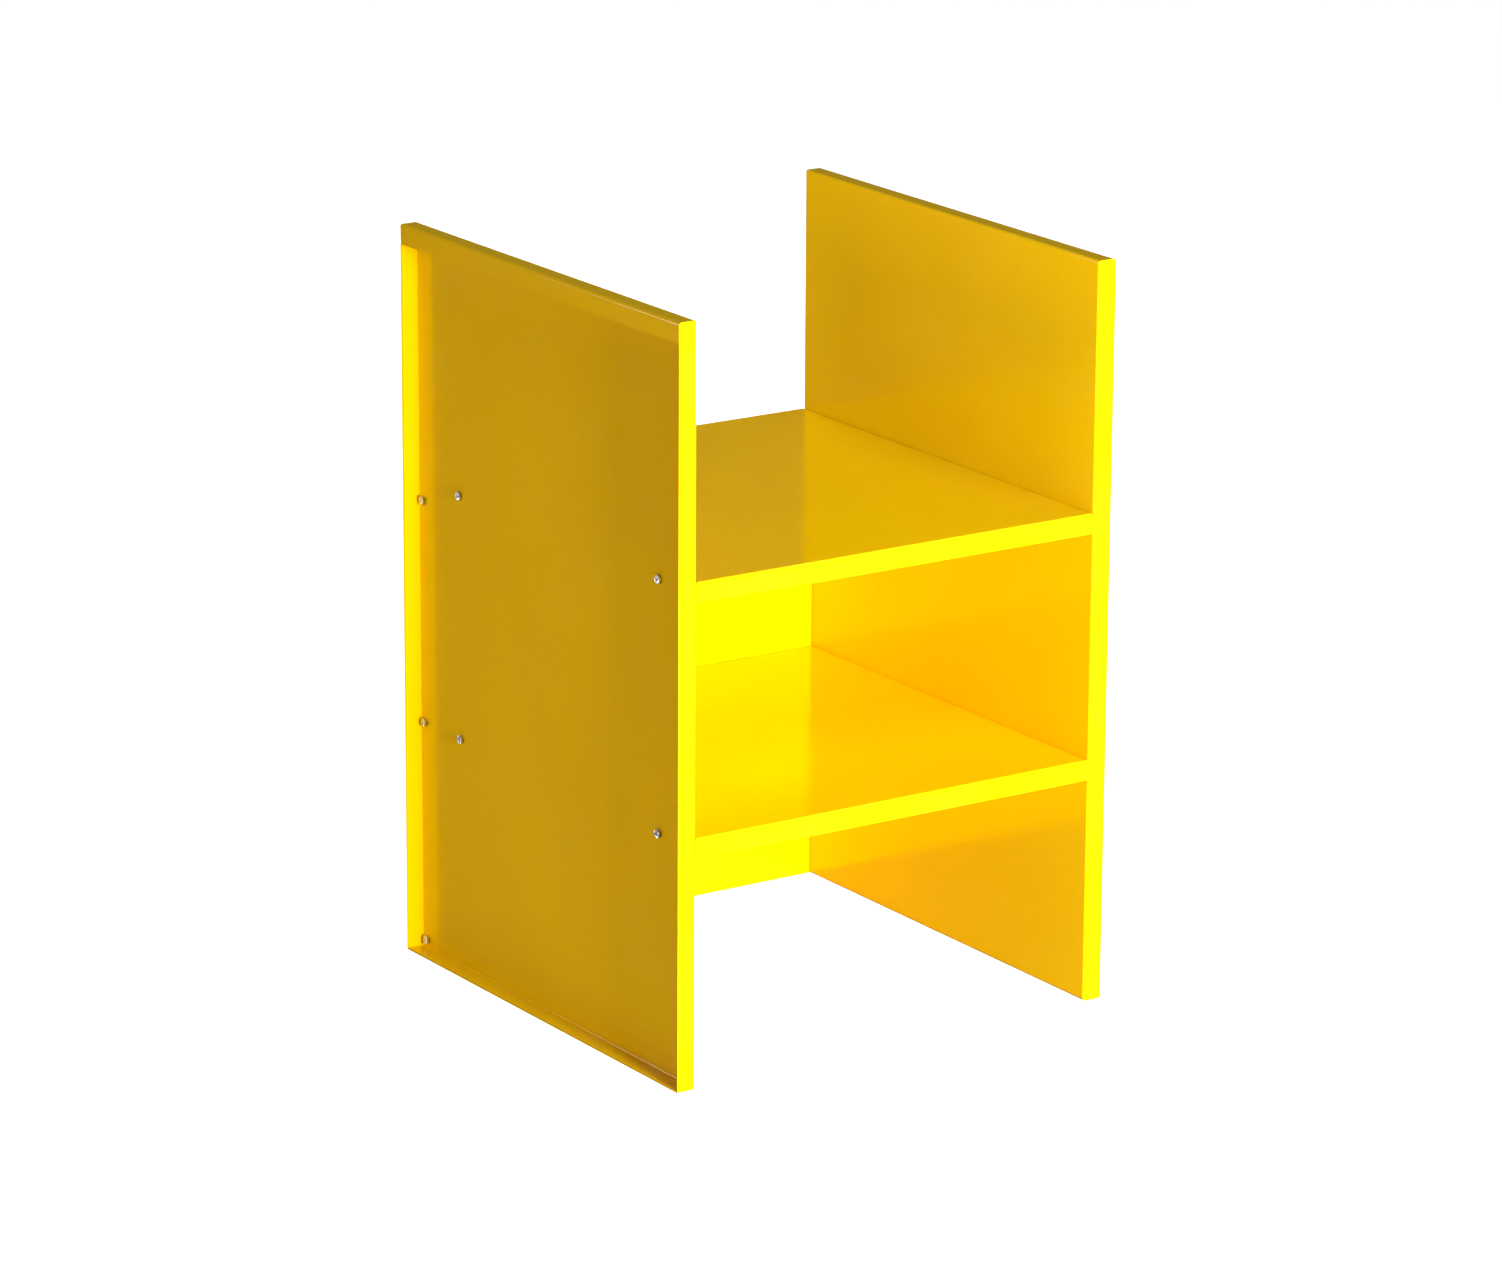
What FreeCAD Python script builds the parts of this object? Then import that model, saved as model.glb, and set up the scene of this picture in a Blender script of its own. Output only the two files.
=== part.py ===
"""Open sheet metal armchair: two tall side panels, a seat, a lower shelf and a low back panel.

Every panel is a shallow tray folded from one aluminium sheet, with its flanges turned away
from the visible face and its corners welded and ground flush. The seat, the shelf and the back
are bolted between the side panels by hexagon bolts whose heads sit in the side panels' recesses.

Units are millimetres. The origin is the middle of the footprint, on the floor: +X is the
sitter's left, seen from the front it is the right-hand side, +Y points to the back, +Z up.
"""

import FreeCAD
import Part
import math
import os

# Overall size of the armchair
OVERALL_WIDTH = 500.0
OVERALL_DEPTH = 500.0
OVERALL_HEIGHT = 750.0

# Heights of the two horizontal faces above the floor
SEAT_HEIGHT = 500.0
SHELF_HEIGHT = 250.0

# Depth of each tray, from its visible face to the cut edge of its flanges
SIDE_TRAY_DEPTH = 20.0
SEAT_TRAY_DEPTH = 20.0
SHELF_TRAY_DEPTH = 20.0
BACK_TRAY_DEPTH = 20.0

# Sheet metal
SHEET = 2.0
BEND_INSIDE_RADIUS = 1.0
WELD_ROUND = 0.6          # ground edge where two flanges are welded together
LIP_HEIGHT = 20.0         # return lip that hangs from the top flange of each side panel
SHELF_REAR_GAP = 0.5      # between the shelf and the back panel
SEAT_REST_GAP = 0.3       # between the seat's flanges and the back panel's top

# Bolt rows
BOLT_FROM_FRONT = 60.0    # seat and shelf: first bolt, from the front edge
BOLT_FROM_REAR = 60.0     # seat and shelf: second bolt, from the back panel's face
BACK_BOLT_FROM_END = 10.0  # back panel: outer bolts, from its top and bottom edges

# M5 hexagon bolt, plain washer and hexagon nut
THREAD_DIAMETER = 5.0
THREAD_DEPTH = 0.2        # the shank is drawn at the middle of the thread's flanks
THREAD_CLEARANCE = 0.05
HEX_ACROSS_FLATS = 8.0
BOLT_HEAD_HEIGHT = 3.5
BOLT_END_CHAMFER = 0.5
BOLT_PROTRUSION = 3.0     # thread that shows past the nut
NUT_HEIGHT = 4.0
WASHER_OUTSIDE_DIAMETER = 10.0
WASHER_THICKNESS = 1.0
WASHER_CLEARANCE = 0.3    # added to the thread diameter for the hole in a washer
BOLT_HOLE_CLEARANCE = 0.5  # added to the thread diameter for the holes in the sheets
HEX_CHAMFER_SHARE = 0.95  # flat circle on a hexagon's end, as a share of its width across flats
HEX_CHAMFER_ANGLE = 30.0
FIRST_HEAD_TURN = -25.0   # bolt heads stop at any angle: the first one's, from corners level
NEXT_HEAD_TURN = 25.0     # and each further head stops this much later
CUT_MARGIN = 5.0          # how far a cutting body runs past what it cuts

# Worked out from the sizes above
BEND_OUTSIDE_RADIUS = BEND_INSIDE_RADIUS + SHEET
INNER_WIDTH = OVERALL_WIDTH - 2 * SIDE_TRAY_DEPTH
BACK_HEIGHT = SEAT_HEIGHT - SEAT_TRAY_DEPTH - SEAT_REST_GAP
FRONT_Y = -OVERALL_DEPTH / 2
REAR_Y = OVERALL_DEPTH / 2
BACK_FACE_Y = REAR_Y - BACK_TRAY_DEPTH
SHANK_RADIUS = THREAD_DIAMETER / 2 - THREAD_DEPTH
HOLE_RADIUS = (THREAD_DIAMETER + BOLT_HOLE_CLEARANCE) / 2
WASHER_BORE_RADIUS = (THREAD_DIAMETER + WASHER_CLEARANCE) / 2
GRIP = 2 * SHEET + WASHER_THICKNESS + NUT_HEIGHT
HEAD_SEAT_X = INNER_WIDTH / 2 + SHEET  # face of a side panel's recess, under the bolt heads

UP = FreeCAD.Vector(0, 0, 1)
ALONG_X = FreeCAD.Vector(1, 0, 0)


def block(low, high):
    """A box between two corners."""
    size = [b - a for a, b in zip(low, high)]
    return Part.makeBox(size[0], size[1], size[2], FreeCAD.Vector(*low))


def edges_on(shape, axis, value, tolerance=1e-6):
    """The edges that lie wholly on the plane where one coordinate has one value."""
    found = []
    for edge in shape.Edges:
        spots = [getattr(vertex.Point, axis) for vertex in edge.Vertexes]
        if all(abs(spot - value) < tolerance for spot in spots):
            found.append(edge)
    return found


def edges_along(shape, axis):
    """The straight edges that run along one axis."""
    others = [name for name in "xyz" if name != axis]
    found = []
    for edge in shape.Edges:
        first, last = edge.Vertexes[0].Point, edge.Vertexes[-1].Point
        if all(abs(getattr(first, name) - getattr(last, name)) < 1e-6 for name in others):
            found.append(edge)
    return found


def folded_box(low, high, face_axis, face_value, bend_radius, flange_axis, corner_radius):
    """A box with the bends of one visible face rounded, and its flange corners eased."""
    solid = block(low, high)
    if corner_radius:
        solid = solid.makeFillet(corner_radius, edges_along(solid, flange_axis))
    return solid.makeFillet(bend_radius, edges_on(solid, face_axis, face_value))


def tray(low, high, open_axis, open_towards):
    """A sheet metal tray: a web with four flanges, open towards one side of its box."""
    index = "xyz".index(open_axis)
    inner_low = [value + SHEET for value in low]
    inner_high = [value - SHEET for value in high]
    if open_towards > 0:
        face_value = low[index]
        inner_high[index] = high[index] + CUT_MARGIN
        inner_face = inner_low[index]
    else:
        face_value = high[index]
        inner_low[index] = low[index] - CUT_MARGIN
        inner_face = inner_high[index]
    outer = folded_box(low, high, open_axis, face_value, BEND_OUTSIDE_RADIUS, open_axis, WELD_ROUND)
    inner = folded_box(
        inner_low, inner_high, open_axis, inner_face, BEND_INSIDE_RADIUS, open_axis, 0
    )
    return outer.cut(inner)


def side_bolt_places():
    """Where each bolt passes through a side panel: (name, y, z)."""
    rows = []
    for panel, top, depth in (
        ("seat", SEAT_HEIGHT, SEAT_TRAY_DEPTH),
        ("shelf", SHELF_HEIGHT, SHELF_TRAY_DEPTH),
    ):
        z = top - depth / 2
        rows.append((panel, "front", FRONT_Y + BOLT_FROM_FRONT, z))
        rows.append((panel, "rear", BACK_FACE_Y - BOLT_FROM_REAR, z))
    back_y = REAR_Y - BACK_TRAY_DEPTH / 2
    rows.append(("back", "bottom", back_y, BACK_BOLT_FROM_END))
    rows.append(("back", "middle", back_y, BACK_HEIGHT / 2))
    rows.append(("back", "top", back_y, BACK_HEIGHT - BACK_BOLT_FROM_END))
    return rows


def with_bolt_holes(shape, panels):
    """Drills the holes of the named panels' bolts across the whole width."""
    for panel, _, y, z in side_bolt_places():
        if panel in panels:
            start = FreeCAD.Vector(-OVERALL_WIDTH / 2 - CUT_MARGIN, y, z)
            length = OVERALL_WIDTH + 2 * CUT_MARGIN
            shape = shape.cut(Part.makeCylinder(HOLE_RADIUS, length, start, ALONG_X))
    return shape


# --- Side panels: a tray open to the outside, with a return lip along the top ---------------


def left_side_panel():
    outside = -OVERALL_WIDTH / 2
    web_face = outside + SIDE_TRAY_DEPTH
    outer = block((outside, FRONT_Y, 0), (web_face, REAR_Y, OVERALL_HEIGHT))
    outer = outer.makeFillet(WELD_ROUND, edges_along(outer, "x"))
    lip_fold = [
        edge for edge in edges_on(outer, "x", outside)
        if all(abs(vertex.Point.z - OVERALL_HEIGHT) < 1e-6 for vertex in edge.Vertexes)
    ]
    outer = outer.makeFillet(BEND_OUTSIDE_RADIUS, edges_on(outer, "x", web_face) + lip_fold)

    inside_low = (outside + SHEET, FRONT_Y + SHEET, SHEET)
    inside_high = (web_face - SHEET, REAR_Y - SHEET, OVERALL_HEIGHT - SHEET)
    inside = block(inside_low, inside_high)
    lip_inside = [
        edge for edge in edges_on(inside, "x", inside_low[0])
        if all(abs(vertex.Point.z - inside_high[2]) < 1e-6 for vertex in edge.Vertexes)
    ]
    inside = inside.makeFillet(BEND_INSIDE_RADIUS, edges_on(inside, "x", inside_high[0]) + lip_inside)
    mouth = block(
        (outside - CUT_MARGIN, FRONT_Y + SHEET, SHEET),
        (inside_low[0], REAR_Y - SHEET, OVERALL_HEIGHT - LIP_HEIGHT),
    )
    panel = outer.cut(inside.fuse(mouth))
    return with_bolt_holes(panel, ("seat", "shelf", "back"))


def right_side_panel():
    return left_side_panel().mirror(FreeCAD.Vector(0, 0, 0), ALONG_X)


# --- Panels between the sides -----------------------------------------------------------------


def seat_panel():
    low = (-INNER_WIDTH / 2, FRONT_Y, SEAT_HEIGHT - SEAT_TRAY_DEPTH)
    high = (INNER_WIDTH / 2, REAR_Y, SEAT_HEIGHT)
    return with_bolt_holes(tray(low, high, "z", -1), ("seat",))


def lower_shelf():
    low = (-INNER_WIDTH / 2, FRONT_Y, SHELF_HEIGHT - SHELF_TRAY_DEPTH)
    high = (INNER_WIDTH / 2, BACK_FACE_Y - SHELF_REAR_GAP, SHELF_HEIGHT)
    return with_bolt_holes(tray(low, high, "z", -1), ("shelf",))


def back_panel():
    low = (-INNER_WIDTH / 2, BACK_FACE_Y, 0)
    high = (INNER_WIDTH / 2, REAR_Y, BACK_HEIGHT)
    return with_bolt_holes(tray(low, high, "y", 1), ("back",))


# --- Fasteners, drawn along +X with the bolt head's seat at x = 0 -----------------------------


def hex_prism(across_flats, start, length):
    """A hexagonal prism along +X, flats level at its top and bottom."""
    corner = across_flats / 2 / math.cos(math.radians(30))
    points = []
    for k in range(7):
        angle = math.radians(60 * k)
        points.append(FreeCAD.Vector(start, corner * math.cos(angle), corner * math.sin(angle)))
    return Part.Face(Part.makePolygon(points)).extrude(FreeCAD.Vector(length, 0, 0))


def chamfer_cone(across_flats, face, length, direction):
    """The cone that chamfers a hexagon's end: its small circle lies on x = face."""
    small = across_flats / 2 * HEX_CHAMFER_SHARE
    large = small + length / math.tan(math.radians(HEX_CHAMFER_ANGLE))
    start = FreeCAD.Vector(face, 0, 0)
    return Part.makeCone(small, large, length, start, FreeCAD.Vector(direction, 0, 0))


def bolt():
    head = hex_prism(HEX_ACROSS_FLATS, -BOLT_HEAD_HEIGHT, BOLT_HEAD_HEIGHT)
    head = head.common(chamfer_cone(HEX_ACROSS_FLATS, -BOLT_HEAD_HEIGHT, BOLT_HEAD_HEIGHT, 1))
    length = GRIP + BOLT_PROTRUSION
    straight = length - BOLT_END_CHAMFER
    shank = Part.makeCylinder(SHANK_RADIUS, straight, FreeCAD.Vector(0, 0, 0), ALONG_X)
    end = Part.makeCone(
        SHANK_RADIUS,
        SHANK_RADIUS - BOLT_END_CHAMFER,
        BOLT_END_CHAMFER,
        FreeCAD.Vector(straight, 0, 0),
        ALONG_X,
    )
    return head.fuse(shank).fuse(end).removeSplitter()


def washer():
    start = FreeCAD.Vector(2 * SHEET, 0, 0)
    disc = Part.makeCylinder(WASHER_OUTSIDE_DIAMETER / 2, WASHER_THICKNESS, start, ALONG_X)
    return disc.cut(Part.makeCylinder(WASHER_BORE_RADIUS, WASHER_THICKNESS, start, ALONG_X))


def nut():
    start = 2 * SHEET + WASHER_THICKNESS
    body = hex_prism(HEX_ACROSS_FLATS, start, NUT_HEIGHT)
    body = body.common(chamfer_cone(HEX_ACROSS_FLATS, start, NUT_HEIGHT, 1))
    body = body.common(chamfer_cone(HEX_ACROSS_FLATS, start + NUT_HEIGHT, NUT_HEIGHT, -1))
    bore_radius = SHANK_RADIUS + THREAD_CLEARANCE
    return body.cut(Part.makeCylinder(bore_radius, NUT_HEIGHT, FreeCAD.Vector(start, 0, 0), ALONG_X))


def placed(shape, side, turn, y, z):
    """A fastener moved to its hole, its head outwards: side is -1 on the left, 1 on the right."""
    copy = shape.copy()
    copy.rotate(FreeCAD.Vector(0, 0, 0), ALONG_X, turn)
    if side > 0:
        copy.rotate(FreeCAD.Vector(0, 0, 0), UP, 180)
    copy.translate(FreeCAD.Vector(side * HEAD_SEAT_X, y, z))
    return copy


def fasteners():
    """Each bolt, washer and nut by name."""
    pieces = {}
    for kind, shape in (("bolt", bolt()), ("washer", washer()), ("nut", nut())):
        for side_name, side in (("left", -1), ("right", 1)):
            for index, (panel, place, y, z) in enumerate(side_bolt_places()):
                turn = FIRST_HEAD_TURN + index * NEXT_HEAD_TURN
                name = f"{panel}_{kind}_{side_name}_{place}"
                pieces[name] = placed(shape, side, turn, y, z)
    return pieces


def main():
    parts = {
        "left_side_panel": left_side_panel(),
        "right_side_panel": right_side_panel(),
        "seat_panel": seat_panel(),
        "lower_shelf": lower_shelf(),
        "back_panel": back_panel(),
    }
    parts.update(fasteners())
    os.makedirs("parts", exist_ok=True)
    for name, shape in parts.items():
        if not shape.isValid() or not shape.Solids:
            raise ValueError(f"{name} is not a valid solid")
        shape.exportStep(os.path.join("parts", name + ".step"))
        print(f"{name}: {len(shape.Solids)} solid, {shape.Volume / 1000:.2f} cm3")


main()
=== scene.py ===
import bmesh
import bpy
import math
from mathutils import Matrix, Quaternion, Vector


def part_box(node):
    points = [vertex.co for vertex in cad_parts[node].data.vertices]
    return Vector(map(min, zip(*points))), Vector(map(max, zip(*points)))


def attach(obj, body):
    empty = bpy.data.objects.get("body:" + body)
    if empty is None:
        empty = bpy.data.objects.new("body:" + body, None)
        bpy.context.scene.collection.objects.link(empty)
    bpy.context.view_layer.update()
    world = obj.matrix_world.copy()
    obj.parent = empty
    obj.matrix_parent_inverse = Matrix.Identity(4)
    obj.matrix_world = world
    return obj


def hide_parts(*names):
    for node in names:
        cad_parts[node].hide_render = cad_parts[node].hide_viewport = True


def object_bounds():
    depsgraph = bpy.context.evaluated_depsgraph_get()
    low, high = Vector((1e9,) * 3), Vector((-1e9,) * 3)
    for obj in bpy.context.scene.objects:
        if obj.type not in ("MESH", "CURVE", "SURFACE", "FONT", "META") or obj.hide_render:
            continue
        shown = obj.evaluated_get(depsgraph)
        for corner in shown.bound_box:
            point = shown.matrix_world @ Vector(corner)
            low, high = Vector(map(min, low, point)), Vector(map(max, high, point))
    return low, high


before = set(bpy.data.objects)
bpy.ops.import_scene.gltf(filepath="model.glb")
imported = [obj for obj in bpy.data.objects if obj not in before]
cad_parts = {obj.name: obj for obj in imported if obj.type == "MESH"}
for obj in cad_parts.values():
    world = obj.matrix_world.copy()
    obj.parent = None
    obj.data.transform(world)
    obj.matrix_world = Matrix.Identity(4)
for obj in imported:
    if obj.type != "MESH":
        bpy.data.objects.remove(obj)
cad_low, cad_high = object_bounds()
scene = bpy.context.scene
scene.view_settings.view_transform = "Standard"
scene.view_settings.look = "None"

# ---------------------------------------------------------------------------------------------
# Camera. A long lens stands in front of the armchair, a little above the seat and to the left,
# and looks slightly down. Its aim is just under the middle of the armchair.
# ---------------------------------------------------------------------------------------------
CAMERA_AZIMUTH = math.radians(-33.883)
CAMERA_ELEVATION = math.radians(16.221)
CAMERA_ROLL = math.radians(0.335)
CAMERA_DISTANCE = 6.1414
AIM_RIGHT = -0.0011
AIM_UP = -0.0283
LENS_MM = 149.42
SENSOR_MM = 36.0
FARTHEST_SEEN = 40.0


def direction(azimuth, elevation):
    """A unit vector from the armchair's middle outwards: azimuth 0 is in front of it."""
    return Vector((
        math.sin(azimuth) * math.cos(elevation),
        -math.cos(azimuth) * math.cos(elevation),
        math.sin(elevation),
    ))


middle = (cad_low + cad_high) / 2
towards_camera = direction(CAMERA_AZIMUTH, CAMERA_ELEVATION)
turn = (-towards_camera).to_track_quat("-Z", "Y") @ Quaternion((0, 0, 1), CAMERA_ROLL)
camera_data = bpy.data.cameras.new("camera")
camera_data.lens = LENS_MM
camera_data.sensor_width = SENSOR_MM
camera = bpy.data.objects.new("camera", camera_data)
camera.rotation_mode = "QUATERNION"
camera.rotation_quaternion = turn
aim = middle + turn @ Vector((AIM_RIGHT, AIM_UP, 0))
camera.location = aim + towards_camera * CAMERA_DISTANCE
camera_data.clip_end = FARTHEST_SEEN
scene.collection.objects.link(camera)
scene.camera = camera

# ---------------------------------------------------------------------------------------------
# Studio. A wide pale floor that looks lit from below, so the armchair leaves almost no shadow.
# The enamel is polished: a low soft box in front lights it, and it mirrors only a dim surround.
# ---------------------------------------------------------------------------------------------
FLOOR_SIZE = 60.0
FLOOR_WHITE = 0.50
FLOOR_ROUGHNESS = 0.9
FLOOR_GLOW = 0.96
SURROUND_SEEN = 1.0
SURROUND_REFLECTED = 0.035
LIGHT_DISTANCE = 3.5
WARM_WHITE = (1.0, 0.80, 0.55)


def mesh_of(name, bm):
    """Turns a bmesh into a mesh, and frees it."""
    mesh = bpy.data.meshes.new(name)
    bm.to_mesh(mesh)
    bm.free()
    return mesh


def placed_object(name, mesh):
    """Makes an object at the origin from a mesh that is already in place."""
    piece = bpy.data.objects.new(name, mesh)
    scene.collection.objects.link(piece)
    return piece


bm = bmesh.new()
bmesh.ops.create_grid(bm, x_segments=1, y_segments=1, size=FLOOR_SIZE / 2)
floor = placed_object("floor", mesh_of("floor", bm))
floor_paint = bpy.data.materials.new("pale_floor")
floor_paint.use_nodes = True
floor_tree = floor_paint.node_tree
floor_shader = floor_tree.nodes["Principled BSDF"]
floor_shader.inputs["Base Color"].default_value = (FLOOR_WHITE, FLOOR_WHITE, FLOOR_WHITE, 1)
floor_shader.inputs["Roughness"].default_value = FLOOR_ROUGHNESS
floor_shader.inputs["Specular IOR Level"].default_value = 0.0
floor_shader.inputs["Emission Color"].default_value = (1, 1, 1, 1)
floor_seen = floor_tree.nodes.new("ShaderNodeLightPath")
floor_glow = floor_tree.nodes.new("ShaderNodeMapRange")
floor_glow.inputs["To Max"].default_value = FLOOR_GLOW
floor_tree.links.new(floor_seen.outputs["Is Camera Ray"], floor_glow.inputs["Value"])
floor_tree.links.new(floor_glow.outputs["Result"], floor_shader.inputs["Emission Strength"])
floor.data.materials.append(floor_paint)
floor.visible_glossy = False

surround = bpy.data.worlds.new("surround")
surround.use_nodes = True
sky = surround.node_tree
background = sky.nodes["Background"]
background.inputs["Color"].default_value = (1, 1, 1, 1)
seen_directly = sky.nodes.new("ShaderNodeLightPath")
strength = sky.nodes.new("ShaderNodeMapRange")
strength.inputs["To Min"].default_value = SURROUND_REFLECTED
strength.inputs["To Max"].default_value = SURROUND_SEEN
sky.links.new(seen_directly.outputs["Is Camera Ray"], strength.inputs["Value"])
sky.links.new(strength.outputs["Result"], background.inputs["Strength"])
surround.cycles_visibility.diffuse = False
scene.world = surround


def soft_box(name, azimuth, elevation, width, height, power, lights, shines):
    """A rectangular studio light that faces the armchair from an azimuth and an elevation.

    It lights matt surfaces where `lights` is true, and is mirrored in polished ones where
    `shines` is true.
    """
    outwards = direction(math.radians(azimuth), math.radians(elevation))
    data = bpy.data.lights.new(name, "AREA")
    data.shape = "RECTANGLE"
    data.size = width
    data.size_y = height
    data.energy = power
    light = bpy.data.objects.new(name, data)
    light.location = middle + outwards * LIGHT_DISTANCE
    light.rotation_mode = "QUATERNION"
    light.rotation_quaternion = (-outwards).to_track_quat("-Z", "Y")
    light.visible_camera = False
    light.visible_diffuse = lights
    light.visible_glossy = shines
    scene.collection.objects.link(light)
    return light


soft_box("key_front", -3, 7, 1.0, 0.7, 465, True, False)
soft_box("front_high", 0, 45, 2.0, 1.6, 38, True, False)
left_fill = soft_box("left_fill", -90, 8, 1.6, 1.0, 36, True, False)
left_fill.data.color = WARM_WHITE
soft_box("right_fill", 95, 8, 1.6, 1.0, 85, True, False)
soft_box("back_fill", 170, 10, 1.6, 1.0, 75, True, False)
soft_box("back_high", 180, 50, 2.0, 1.6, 32, True, False)
soft_box("bend_glint", 62, 52, 1.2, 0.8, 4, False, True)
soft_box("side_card", -118, 8, 2.8, 1.4, 80, False, True)

# ---------------------------------------------------------------------------------------------
# Side panels, seat, shelf and back. Each is a shallow tray folded from one 2 mm aluminium
# sheet. Its corners are welded and ground flush before the whole tray is enamelled, so it
# shows round bends, slightly sharper corners and no seams.
# ---------------------------------------------------------------------------------------------
SHEET = 0.002
BEND_RADIUS = 0.003
WELD_RADIUS = 0.0008
CUT_EDGE_RADIUS = 0.0003
BEND_SEGMENTS = 6
LIP_HEIGHT = 0.020
HOLE_RADIUS = 0.00275
HOLE_SEGMENTS = 48
SAME_PLACE = 1e-6
FOLDED_ANGLE = 1.0
ENAMEL_THIN = (0.82, 0.510, 0.0, 1)
ENAMEL_DEEP = (0.78, 0.480, 0.0, 1)
ENAMEL_NICK = (0.16, 0.09, 0.02, 1)
ENAMEL_SPECULAR = 0.45
POLISHED, SMUDGED, SCRATCHED = 0.10, 0.17, 0.18


def finished(piece):
    """Applies a piece's modifiers, so that what is left is its final mesh."""
    graph = bpy.context.evaluated_depsgraph_get()
    mesh = bpy.data.meshes.new_from_object(piece.evaluated_get(graph))
    piece.modifiers.clear()
    piece.data = mesh
    return piece


def add_smooth_shading(piece):
    """Shades a piece smoothly, with its flat faces kept flat up to their bends."""
    for face in piece.data.polygons:
        face.use_smooth = True
    shading = piece.modifiers.new("shading", "WEIGHTED_NORMAL")
    shading.mode = "FACE_AREA"
    shading.weight = 100
    shading.keep_sharp = True


def bolt_holes():
    """One body for all the holes: a long cylinder on each bolt's axis, from side to side."""
    bm = bmesh.new()
    for node in sorted(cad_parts):
        if "_bolt_left_" in node:
            low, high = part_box(node)
            axis = (low + high) / 2
            place = Matrix.Translation((0, axis.y, axis.z)) @ Matrix.Rotation(math.pi / 2, 4, "Y")
            bmesh.ops.create_cone(
                bm, cap_ends=True, segments=HOLE_SEGMENTS, radius1=HOLE_RADIUS,
                radius2=HOLE_RADIUS, depth=cad_high.x * 4, matrix=place,
            )
    return placed_object("hole_cutter", mesh_of("hole_cutter", bm))


def folded_tray(node, open_axis, open_side, hole_cutter, lip=0.0):
    """A tray in the place of a CAD node, open towards one side along one axis."""
    low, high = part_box(node)
    bm = bmesh.new()
    bmesh.ops.create_cube(bm, size=1.0)
    bmesh.ops.scale(bm, vec=high - low, verts=bm.verts)
    bmesh.ops.translate(bm, vec=(low + high) / 2, verts=bm.verts)
    rim = (high if open_side > 0 else low)[open_axis]
    if lip:
        bmesh.ops.bisect_plane(
            bm, geom=bm.verts[:] + bm.edges[:] + bm.faces[:],
            plane_co=(0, 0, high.z - lip), plane_no=(0, 0, 1),
        )
    mouth = [
        face for face in bm.faces
        if abs(face.calc_center_median()[open_axis] - rim) < SAME_PLACE
        and (not lip or face.calc_center_median().z < high.z - lip)
    ]
    bmesh.ops.delete(bm, geom=mouth, context="FACES_ONLY")
    weight = bm.edges.layers.float.new("bevel_weight_edge")
    for edge in bm.edges:
        if len(edge.link_faces) == 2 and edge.calc_face_angle() > FOLDED_ANGLE:
            ends = [vert.co[open_axis] for vert in edge.verts]
            along = abs(ends[0] - ends[1]) > SAME_PLACE
            beside_lip = lip and all(abs(end - rim) < SAME_PLACE for end in ends)
            rise = abs(edge.verts[0].co.z - edge.verts[1].co.z)
            upright_at_lip = beside_lip and rise > SAME_PLACE
            welded = along or upright_at_lip
            edge[weight] = WELD_RADIUS / BEND_RADIUS if welded else 1.0
    bmesh.ops.recalc_face_normals(bm, faces=bm.faces)
    name = node + "_tray"
    tray = placed_object(name, mesh_of(name, bm))

    bends = tray.modifiers.new("bends", "BEVEL")
    bends.limit_method = "WEIGHT"
    bends.width = BEND_RADIUS
    bends.segments = BEND_SEGMENTS
    wall = tray.modifiers.new("sheet", "SOLIDIFY")
    wall.thickness = SHEET
    wall.offset = -1.0
    wall.use_even_offset = True
    wall.use_quality_normals = True
    holes = tray.modifiers.new("holes", "BOOLEAN")
    holes.object = hole_cutter
    holes.operation = "DIFFERENCE"
    holes.solver = "EXACT"
    finished(tray)
    # The mitred corners of a thickened sheet stand a little proud, and are ground back.
    for vert in tray.data.vertices:
        vert.co = [min(max(at, least), most) for at, least, most in zip(vert.co, low, high)]

    edges = tray.modifiers.new("cut_edges", "BEVEL")
    edges.limit_method = "ANGLE"
    edges.angle_limit = math.radians(50)
    edges.width = CUT_EDGE_RADIUS
    edges.segments = 2
    edges.use_clamp_overlap = True
    add_smooth_shading(tray)
    finished(tray)
    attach(tray, "root")
    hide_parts(node)
    return tray


hole_cutter = bolt_holes()
trays = [
    folded_tray("left_side_panel", 0, -1, hole_cutter, lip=LIP_HEIGHT),
    folded_tray("right_side_panel", 0, 1, hole_cutter, lip=LIP_HEIGHT),
    folded_tray("seat_panel", 2, -1, hole_cutter),
    folded_tray("lower_shelf", 2, -1, hole_cutter),
    folded_tray("back_panel", 1, 1, hole_cutter),
]
bpy.data.objects.remove(hole_cutter)


def noise(tree, coordinates, scale, detail, roughness=0.5):
    """A noise texture on a tree's coordinates: the scale is in waves to a metre."""
    node = tree.nodes.new("ShaderNodeTexNoise")
    node.inputs["Scale"].default_value = scale
    node.inputs["Detail"].default_value = detail
    node.inputs["Roughness"].default_value = roughness
    tree.links.new(coordinates, node.inputs["Vector"])
    return node


def ranged(tree, value, low, high, to_low, to_high):
    """A value that runs from one range into another, and stops at its ends."""
    node = tree.nodes.new("ShaderNodeMapRange")
    for name, number in (("From Min", low), ("From Max", high), ("To Min", to_low), ("To Max", to_high)):
        node.inputs[name].default_value = number
    tree.links.new(value, node.inputs["Value"])
    return node.outputs["Result"]


def group_of_nodes(name, inputs, outputs):
    """An empty shader group with named sockets, and its input and output nodes."""
    group = bpy.data.node_groups.new(name, "ShaderNodeTree")
    for socket, kind in inputs:
        group.interface.new_socket(socket, in_out="INPUT", socket_type=kind)
    for socket, kind in outputs:
        group.interface.new_socket(socket, in_out="OUTPUT", socket_type=kind)
    return group, group.nodes.new("NodeGroupInput"), group.nodes.new("NodeGroupOutput")


def placed_group(tree, group, coordinates, values):
    """Puts a shader group in a material, with its own values for the named inputs."""
    node = tree.nodes.new("ShaderNodeGroup")
    node.node_tree = group
    for name, number in values:
        node.inputs[name].default_value = number
    tree.links.new(coordinates, node.inputs["Vector"])
    return node


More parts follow.
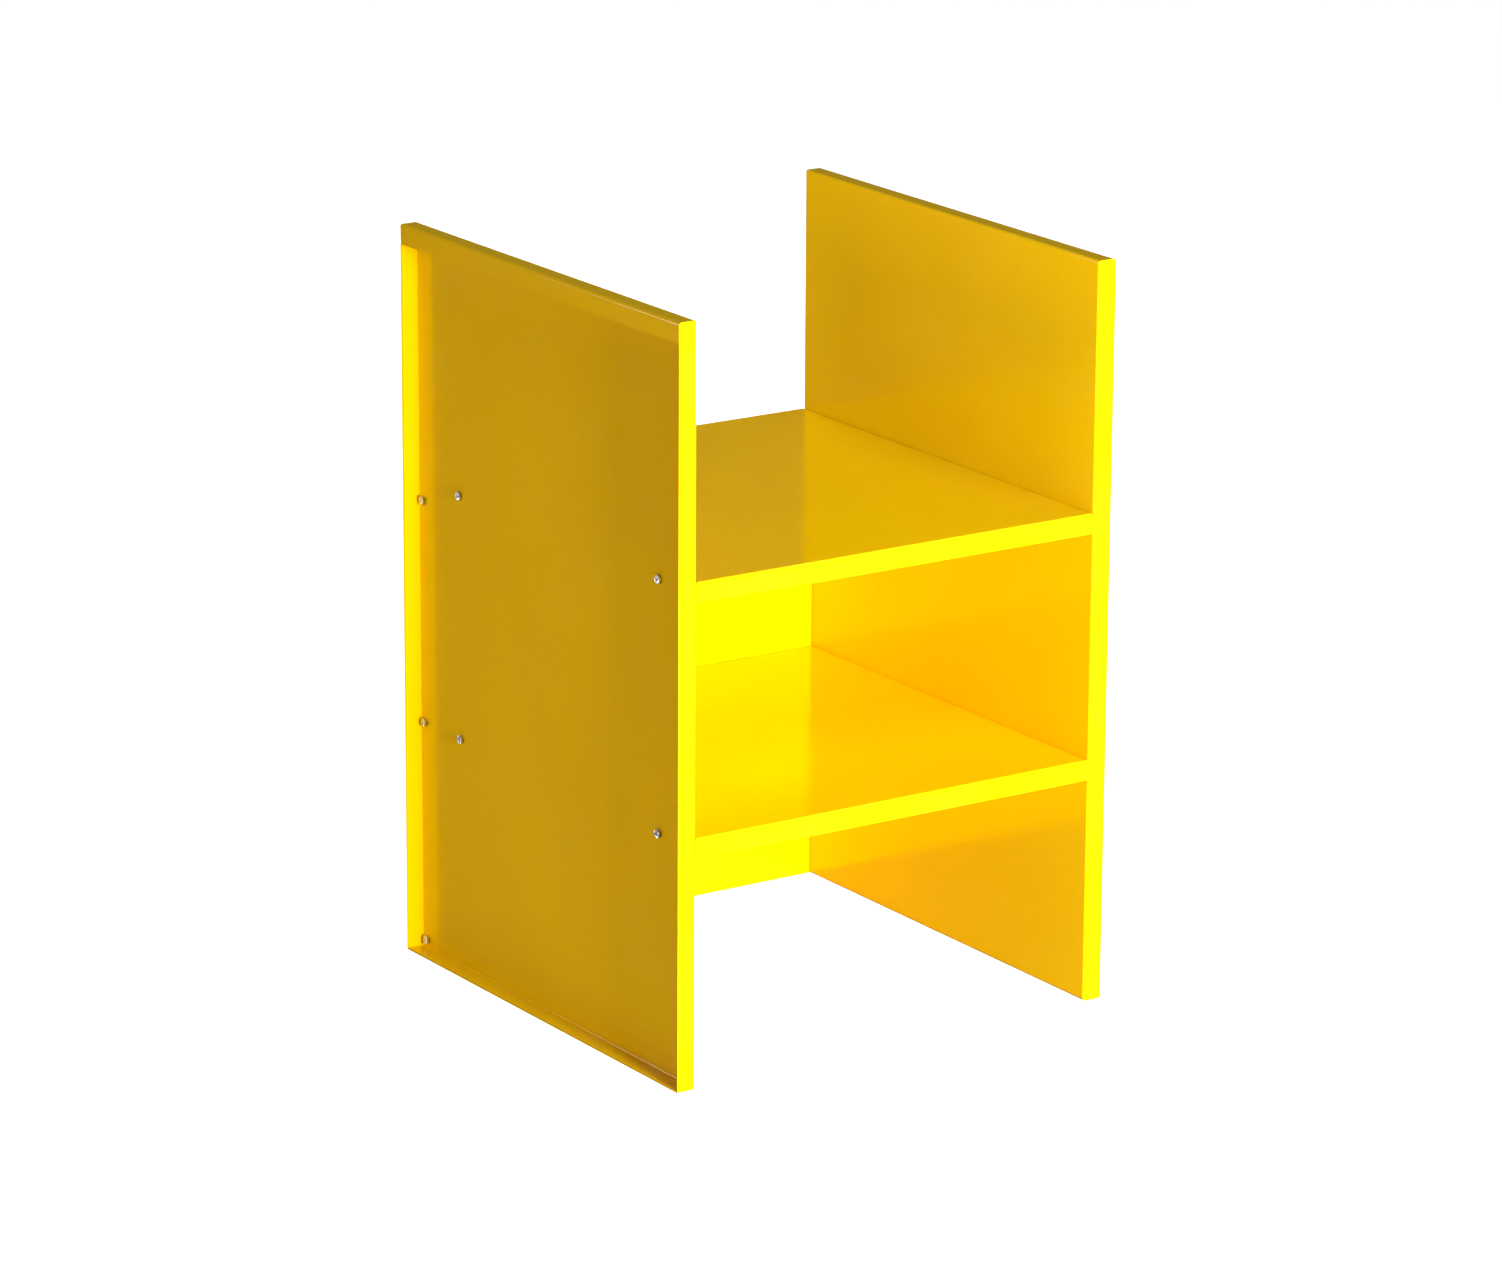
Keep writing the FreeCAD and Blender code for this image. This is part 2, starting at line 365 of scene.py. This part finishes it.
def mixed(tree, kind, factor, first, second):
    """Mixes a second colour or number into a first one, which may be a socket."""
    node = tree.nodes.new("ShaderNodeMix")
    node.data_type = kind
    if isinstance(first, bpy.types.NodeSocket):
        tree.links.new(first, node.inputs["A"])
    else:
        node.inputs["A"].default_value = first
    node.inputs["B"].default_value = second
    tree.links.new(factor, node.inputs["Factor"])
    return node.outputs["Result"]


def bumped(tree, height, distance, under=None):
    """The normal of a bumpy surface, on top of another one where that is given."""
    node = tree.nodes.new("ShaderNodeBump")
    node.inputs["Strength"].default_value = 1.0
    node.inputs["Distance"].default_value = distance
    tree.links.new(height, node.inputs["Height"])
    if under is not None:
        tree.links.new(under, node.inputs["Normal"])
    return node.outputs["Normal"]


def handled_surface():
    """Smudges of handling, in patches of a few centimetres, and short hair scratches."""
    group, given, put_out = group_of_nodes(
        "handled_surface",
        (("Vector", "NodeSocketVector"), ("Patch Scale", "NodeSocketFloat"),
         ("Scratch Scale", "NodeSocketFloat")),
        (("Smudges", "NodeSocketFloat"), ("Scratches", "NodeSocketFloat")),
    )
    patches = noise(group, given.outputs["Vector"], 1.0, 4.0, 0.6)
    group.links.new(given.outputs["Patch Scale"], patches.inputs["Scale"])
    smudges = ranged(group, patches.outputs["Fac"], 0.42, 0.70, 0.0, 1.0)
    group.links.new(smudges, put_out.inputs["Smudges"])

    stretched = group.nodes.new("ShaderNodeMapping")
    stretched.inputs["Rotation"].default_value = (0.5, 0.9, 0.35)
    stretched.inputs["Scale"].default_value = (1.0, 0.04, 1.0)
    group.links.new(given.outputs["Vector"], stretched.inputs["Vector"])
    hairs = noise(group, stretched.outputs["Vector"], 1.0, 1.0)
    group.links.new(given.outputs["Scratch Scale"], hairs.inputs["Scale"])
    lines = ranged(group, hairs.outputs["Fac"], 0.735, 0.75, 0.0, 1.0)
    group.links.new(lines, put_out.inputs["Scratches"])
    return group


def specks():
    """Sparse small specks: one in each cell of a coarse pattern, where it meets the surface."""
    group, given, put_out = group_of_nodes(
        "specks",
        (("Vector", "NodeSocketVector"), ("Scale", "NodeSocketFloat"),
         ("Radius", "NodeSocketFloat")),
        (("Mask", "NodeSocketFloat"),),
    )
    cells = group.nodes.new("ShaderNodeTexVoronoi")
    cells.distance = "MANHATTAN"
    group.links.new(given.outputs["Vector"], cells.inputs["Vector"])
    group.links.new(given.outputs["Scale"], cells.inputs["Scale"])
    near = group.nodes.new("ShaderNodeMath")
    near.operation = "LESS_THAN"
    group.links.new(cells.outputs["Distance"], near.inputs[0])
    group.links.new(given.outputs["Radius"], near.inputs[1])
    group.links.new(near.outputs["Value"], put_out.inputs["Mask"])
    return group


handled_surface_group = handled_surface()
specks_group = specks()


def yellow_enamel():
    """Polished chrome-yellow enamel, sprayed: slight orange peel, and the sheet's own waves."""
    material = bpy.data.materials.new("yellow_enamel")
    material.use_nodes = True
    tree = material.node_tree
    shader = tree.nodes["Principled BSDF"]
    place = tree.nodes.new("ShaderNodeTexCoord").outputs["Object"]
    shader.inputs["Specular IOR Level"].default_value = ENAMEL_SPECULAR

    handled = placed_group(
        tree, handled_surface_group, place, (("Patch Scale", 14.0), ("Scratch Scale", 160.0))
    )
    nicks = placed_group(tree, specks_group, place, (("Scale", 30.0), ("Radius", 0.018)))

    depth = ranged(tree, noise(tree, place, 5.0, 3.0).outputs["Fac"], 0.3, 0.7, 0.0, 1.0)
    tone = mixed(tree, "RGBA", depth, ENAMEL_THIN, ENAMEL_DEEP)
    marked = mixed(tree, "RGBA", nicks.outputs["Mask"], tone, ENAMEL_NICK)
    tree.links.new(marked, shader.inputs["Base Color"])

    polish = ranged(tree, handled.outputs["Smudges"], 0.0, 1.0, POLISHED, SMUDGED)
    rubbed = mixed(tree, "FLOAT", handled.outputs["Scratches"], polish, SCRATCHED)
    tree.links.new(rubbed, shader.inputs["Roughness"])

    waves = bumped(tree, noise(tree, place, 7.0, 1.0).outputs["Fac"], 0.00012)
    peel = bumped(tree, noise(tree, place, 420.0, 2.0).outputs["Fac"], 0.000006, waves)
    tree.links.new(peel, shader.inputs["Normal"])
    return material


enamel = yellow_enamel()
for tray in trays:
    tray.data.materials.clear()
    tray.data.materials.append(enamel)

# ---------------------------------------------------------------------------------------------
# Bolts. M5 hexagon bolts of zinc-plated steel, headed, turned under the head and thread-rolled.
# They are pushed inwards through the side panels, and their heads stop at any angle.
# ---------------------------------------------------------------------------------------------
ACROSS_FLATS = 0.008
FLAT_CIRCLE = 0.0038
CHAMFER_SLOPE = math.tan(math.radians(30))
HEAD_HEIGHT = 0.0035
HEAD_SEAT_FACE = 0.0002
SHANK_RADIUS = 0.0023
BOLT_LENGTH = 0.012
JOIN_OVERLAP = 0.0004
SHANK_CONE = 0.0001
BEYOND_CORNERS = 0.0003
SOFT_EDGE = 0.00006
THREAD_START = 0.0087
THREAD_PITCH = 0.0008
THREAD_CREST = 0.00246
THREAD_ROOT = 0.00204
THREAD_STEPS = 32
THREAD_TURNS = 7
END_CHAMFER = 0.0005
TURNED_SEGMENTS = 64
FIRST_TURN = math.radians(-25)
NEXT_TURN = math.radians(25)
ZINC_BRIGHT = (0.74, 0.74, 0.78, 1)
ZINC_GREY = (0.56, 0.57, 0.61, 1)
ZINC_SPOT = (0.40, 0.40, 0.42, 1)
ZINC_SMOOTH, ZINC_ROUGH = 0.34, 0.50
BOLT_PLACES = ("seat_{}_{}_front", "seat_{}_{}_rear", "shelf_{}_{}_front", "shelf_{}_{}_rear",
               "back_{}_{}_bottom", "back_{}_{}_middle", "back_{}_{}_top")


def turned(bm, outline, closed):
    """Spins an outline of (along, radius) points about the X axis in a bmesh."""
    points = [bm.verts.new((along, 0, radius)) for along, radius in outline]
    pairs = list(zip(points, points[1:])) + ([(points[-1], points[0])] if closed else [])
    edges = [bm.edges.new(pair) for pair in pairs]
    bmesh.ops.spin(
        bm, geom=points + edges, cent=(0, 0, 0), axis=(1, 0, 0),
        angle=2 * math.pi, steps=TURNED_SEGMENTS, use_merge=True,
    )
    bmesh.ops.remove_doubles(bm, verts=bm.verts, dist=1e-7)
    bmesh.ops.recalc_face_normals(bm, faces=bm.faces)


def chamfered_hexagon(start, length, outline, closed):
    """A hexagon along X that is cut to a turned outline, as a finished mesh."""
    bm = bmesh.new()
    turned(bm, outline, closed)
    form = placed_object("turned_form", mesh_of("turned_form", bm))
    bm = bmesh.new()
    bmesh.ops.create_cone(
        bm, cap_ends=True, segments=6, radius1=ACROSS_FLATS / math.sqrt(3),
        radius2=ACROSS_FLATS / math.sqrt(3), depth=length,
        matrix=Matrix.Translation((start + length / 2, 0, 0)) @ Matrix.Rotation(math.pi / 2, 4, "Y"),
    )
    hexagon = placed_object("hexagon", mesh_of("hexagon", bm))
    cut = hexagon.modifiers.new("cut", "BOOLEAN")
    cut.object = form
    cut.operation = "INTERSECT"
    cut.solver = "EXACT"
    flats = hexagon.modifiers.new("flats", "DECIMATE")
    flats.decimate_type = "DISSOLVE"
    flats.angle_limit = math.radians(1)
    soft = hexagon.modifiers.new("soft_edges", "BEVEL")
    soft.limit_method = "ANGLE"
    soft.angle_limit = math.radians(25)
    soft.width = SOFT_EDGE
    soft.segments = 2
    finished(hexagon)
    mesh = hexagon.data
    bpy.data.objects.remove(hexagon)
    bpy.data.objects.remove(form)
    return mesh


def bolt_mesh():
    """Head with its seat face, shank, and the rolled thread that shows past the nut."""
    shoulder = ACROSS_FLATS / math.sqrt(3) + BEYOND_CORNERS
    head = chamfered_hexagon(-HEAD_HEIGHT, HEAD_HEIGHT, (
        (-HEAD_HEIGHT, 0), (-HEAD_HEIGHT, FLAT_CIRCLE),
        (-HEAD_HEIGHT + (shoulder - FLAT_CIRCLE) * CHAMFER_SLOPE, shoulder),
        (-HEAD_SEAT_FACE, shoulder), (-HEAD_SEAT_FACE, FLAT_CIRCLE), (0, FLAT_CIRCLE), (0, 0),
    ), False)
    bm = bmesh.new()
    turned(bm, ((-JOIN_OVERLAP, 0), (-JOIN_OVERLAP, SHANK_RADIUS), (THREAD_START, SHANK_RADIUS),
                (THREAD_START + SHANK_CONE, 0)), False)

    rolled = bmesh.new()
    outline = ((0, THREAD_ROOT), (4 / 16, THREAD_ROOT), (9 / 16, THREAD_CREST),
               (11 / 16, THREAD_CREST), (16 / 16, THREAD_ROOT))
    start = THREAD_START - 2 * THREAD_PITCH
    points = [rolled.verts.new((start + share * THREAD_PITCH, 0, radius)) for share, radius in outline]
    edges = [rolled.edges.new(pair) for pair in zip(points, points[1:])]
    bmesh.ops.spin(
        rolled, geom=points + edges, cent=(0, 0, 0), axis=(1, 0, 0),
        dvec=(THREAD_PITCH / THREAD_STEPS, 0, 0), angle=2 * math.pi * THREAD_TURNS,
        steps=THREAD_STEPS * THREAD_TURNS,
    )
    bmesh.ops.remove_doubles(rolled, verts=rolled.verts, dist=1e-6)
    for along, facing in ((THREAD_START, -1), (BOLT_LENGTH, 1)):
        bmesh.ops.bisect_plane(
            rolled, geom=rolled.verts[:] + rolled.edges[:] + rolled.faces[:],
            plane_co=(along, 0, 0), plane_no=(facing, 0, 0), clear_outer=True,
        )
    for vert in rolled.verts:
        allowed = SHANK_RADIUS - END_CHAMFER + BOLT_LENGTH - vert.co.x
        radius = math.hypot(vert.co.y, vert.co.z)
        if radius > allowed:
            vert.co.y *= allowed / radius
            vert.co.z *= allowed / radius
    bmesh.ops.holes_fill(rolled, edges=rolled.edges, sides=0)
    bmesh.ops.recalc_face_normals(rolled, faces=rolled.faces)
    bm.from_mesh(mesh_of("thread", rolled))
    bm.from_mesh(head)
    return mesh_of("bolt", bm)


def fastened(kind, mesh, material):
    """Puts one fastener in each of its places, and keeps its own coordinates as an attribute."""
    pattern_piece = placed_object("pattern_piece", mesh)
    add_smooth_shading(pattern_piece)
    mesh.set_sharp_from_angle(angle=math.radians(35))
    mesh = finished(pattern_piece).data
    bpy.data.objects.remove(pattern_piece)
    own = mesh.attributes.new("own_place", "FLOAT_VECTOR", "POINT")
    for vert, value in zip(mesh.vertices, own.data):
        value.vector = vert.co
    mesh.materials.clear()
    mesh.materials.append(material)
    recess_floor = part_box("right_side_panel")[0].x + SHEET
    for side_name, side in (("left", -1), ("right", 1)):
        for index, pattern in enumerate(BOLT_PLACES):
            node = pattern.format(kind, side_name)
            low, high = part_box(node)
            seat = Vector((side * recess_floor, *((low + high) / 2).yz))
            turn = Matrix.Rotation(FIRST_TURN + index * NEXT_TURN, 4, "X")
            if side > 0:
                turn = Matrix.Rotation(math.pi, 4, "Z") @ turn
            placed = mesh.copy()
            placed.transform(Matrix.Translation(seat) @ turn)
            piece = placed_object(node + "_plated", placed)
            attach(piece, "root")
            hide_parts(node)


def bright_steel():
    """Bright zinc plating: mottled at a fine scale, with turning rings on the end faces."""
    material = bpy.data.materials.new("bright_steel")
    material.use_nodes = True
    tree = material.node_tree
    shader = tree.nodes["Principled BSDF"]
    place = tree.nodes.new("ShaderNodeTexCoord")
    own = tree.nodes.new("ShaderNodeAttribute")
    own.attribute_name = "own_place"
    shader.inputs["Metallic"].default_value = 1.0

    handled = placed_group(
        tree, handled_surface_group, place.outputs["Object"],
        (("Patch Scale", 420.0), ("Scratch Scale", 4200.0)),
    )
    dull = placed_group(
        tree, specks_group, place.outputs["Object"], (("Scale", 900.0), ("Radius", 0.16))
    )

    tone = mixed(tree, "RGBA", handled.outputs["Smudges"], ZINC_BRIGHT, ZINC_GREY)
    spotted = mixed(tree, "RGBA", dull.outputs["Mask"], tone, ZINC_SPOT)
    tree.links.new(spotted, shader.inputs["Base Color"])
    worn = ranged(tree, handled.outputs["Smudges"], 0.0, 1.0, ZINC_SMOOTH, ZINC_ROUGH)
    tree.links.new(worn, shader.inputs["Roughness"])

    rings = tree.nodes.new("ShaderNodeTexWave")
    rings.wave_type = "RINGS"
    rings.rings_direction = "X"
    rings.inputs["Scale"].default_value = 1300.0
    rings.inputs["Distortion"].default_value = 0.6
    tree.links.new(own.outputs["Vector"], rings.inputs["Vector"])
    facing = tree.nodes.new("ShaderNodeSeparateXYZ")
    tree.links.new(place.outputs["Normal"], facing.inputs["Vector"])
    end_face = tree.nodes.new("ShaderNodeMath")
    end_face.operation = "ABSOLUTE"
    tree.links.new(facing.outputs["X"], end_face.inputs[0])
    rings_there = tree.nodes.new("ShaderNodeMath")
    rings_there.operation = "MULTIPLY"
    tree.links.new(rings.outputs["Fac"], rings_there.inputs[0])
    tree.links.new(ranged(tree, end_face.outputs["Value"], 0.9, 0.98, 0.0, 1.0), rings_there.inputs[1])
    ridges = bumped(tree, rings_there.outputs["Value"], 0.000004)
    grain_height = noise(tree, place.outputs["Object"], 2600.0, 2.0).outputs["Fac"]
    tree.links.new(bumped(tree, grain_height, 0.000008, ridges), shader.inputs["Normal"])
    return material


steel = bright_steel()
fastened("bolt", bolt_mesh(), steel)

# ---------------------------------------------------------------------------------------------
# Washers. M5 plain washers punched from zinc-plated steel strip, so one face has rounded edges.
# Each lies against a flange inside the armchair, under its nut.
# ---------------------------------------------------------------------------------------------
WASHER_NEAR = 0.004
WASHER_FAR = 0.005
WASHER_OUTSIDE = 0.005
WASHER_BORE = 0.00265
PUNCH_ROUND = 0.00018
PUNCH_MIDWAY = PUNCH_ROUND * 0.3

bm = bmesh.new()
turned(bm, (
    (WASHER_NEAR, WASHER_BORE), (WASHER_NEAR, WASHER_OUTSIDE),
    (WASHER_FAR - PUNCH_ROUND, WASHER_OUTSIDE),
    (WASHER_FAR - PUNCH_MIDWAY, WASHER_OUTSIDE - PUNCH_MIDWAY),
    (WASHER_FAR, WASHER_OUTSIDE - PUNCH_ROUND), (WASHER_FAR, WASHER_BORE + PUNCH_ROUND),
    (WASHER_FAR - PUNCH_MIDWAY, WASHER_BORE + PUNCH_MIDWAY),
    (WASHER_FAR - PUNCH_ROUND, WASHER_BORE),
), True)
fastened("washer", mesh_of("washer", bm), steel)

# ---------------------------------------------------------------------------------------------
# Nuts. M5 hexagon nuts of zinc-plated steel, chamfered at both ends, with a countersunk lead-in
# to the thread. Each is tightened on its washer and leaves a little thread showing.
# ---------------------------------------------------------------------------------------------
NUT_NEAR = 0.005
NUT_FAR = 0.009
NUT_BORE = 0.00235
LEAD_IN = 0.00035

shoulder = ACROSS_FLATS / math.sqrt(3) + BEYOND_CORNERS
slope = (shoulder - FLAT_CIRCLE) * CHAMFER_SLOPE
fastened("nut", chamfered_hexagon(NUT_NEAR, NUT_FAR - NUT_NEAR, (
    (NUT_NEAR, NUT_BORE + LEAD_IN), (NUT_NEAR, FLAT_CIRCLE), (NUT_NEAR + slope, shoulder),
    (NUT_FAR - slope, shoulder), (NUT_FAR, FLAT_CIRCLE), (NUT_FAR, NUT_BORE + LEAD_IN),
    (NUT_FAR - LEAD_IN, NUT_BORE), (NUT_NEAR + LEAD_IN, NUT_BORE),
), True), steel)
